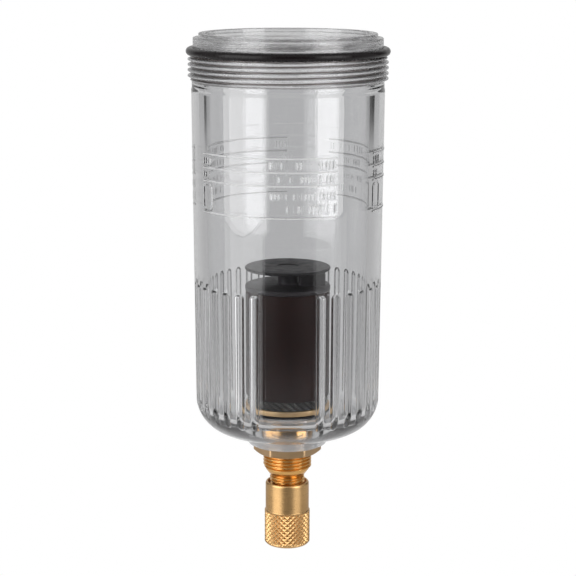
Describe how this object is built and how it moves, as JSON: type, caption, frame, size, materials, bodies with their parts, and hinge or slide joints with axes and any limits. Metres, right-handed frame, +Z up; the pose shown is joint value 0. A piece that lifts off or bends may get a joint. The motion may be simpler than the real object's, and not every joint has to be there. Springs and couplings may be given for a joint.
{
  "type": "compressed air filter bowl",
  "caption": "Clear threaded filter bowl with a sealing ring, grip flutes, and a float drain inside that empties through a knurled brass drain knob below.",
  "frame": {"origin": "centre of the bowl's rim plane, where the bowl screws up into a filter head", "axes": "+Z up along the bowl's axis towards the filter head; -Y towards the smooth sight window; +X to the right of someone facing the window"},
  "size_m": [0.0564, 0.0564, 0.147],
  "materials": {
    "clear_polycarbonate": "clear, glossy",
    "black_rubber": "matte",
    "thread_brass": "bright turned",
    "brass": "satin",
    "steel": "satin",
    "brown_plastic": "satin",
    "black_plastic": "matte",
    "float_foam": "matte"
  },
  "bodies": {
    "bowl_unit": {"bowl": "clear_polycarbonate", "bowl_o_ring": "black_rubber", "drain_body": "thread_brass", "flange_gasket": "black_rubber", "clamp_nut": "brass", "inlet_strainer": "steel", "float_housing": "brown_plastic", "housing_cap": "black_plastic", "splash_disc": "black_plastic", "vent_block": "black_plastic", "guide_tube": "brass", "pilot_cylinder": "black_plastic", "pilot_nozzle": "brass", "lever_bracket": "black_plastic", "lever_pin": "steel", "piston_spring": "steel"},
    "float_ring": {"float": "float_foam"},
    "lever": {"pilot_lever": "steel", "pilot_pad": "black_rubber"},
    "piston_and_stem": {"piston": "brass", "piston_seal": "black_rubber", "stem_clip": "steel", "valve_stem": "steel", "valve_seal": "black_rubber"},
    "outlet": {"outlet_tube": "brass", "outlet_o_ring": "black_rubber", "knob_clip": "steel"},
    "knob": {"drain_knob": "brass"}
  },
  "joints": [
    {"name": "float_rise", "type": "slide", "parent": "bowl_unit", "child": "float_ring", "axis": [0, 0, 1], "range_m": [0, 0.003]},
    {"name": "lever_pivot", "type": "hinge", "parent": "bowl_unit", "child": "lever", "pos_m": [-0.001, 0.0046, -0.0864], "axis": [0, -1, 0], "range_deg": [0, 22]},
    {"name": "piston_travel", "type": "slide", "parent": "bowl_unit", "child": "piston_and_stem", "axis": [0, 0, 1], "range_m": [0, 0.002], "stiffness_N_per_m": 500, "springref_m": -0.004, "deforming": ["piston_spring"]},
    {"name": "outlet_travel", "type": "slide", "parent": "bowl_unit", "child": "outlet", "axis": [0, 0, 1], "range_m": [-0.0031, 0]},
    {"name": "knob_turn", "type": "hinge", "parent": "outlet", "child": "knob", "pos_m": [0, 0, -0.137], "axis": [0, 0, 1], "range_deg": [-1080, 0]}
  ],
  "couplings": [
    {"joint": "lever_pivot", "follows": "float_rise", "rad_per_m": 125},
    {"joint": "outlet_travel", "follows": "knob_turn", "m_per_rad": 0.00015915}
  ]
}
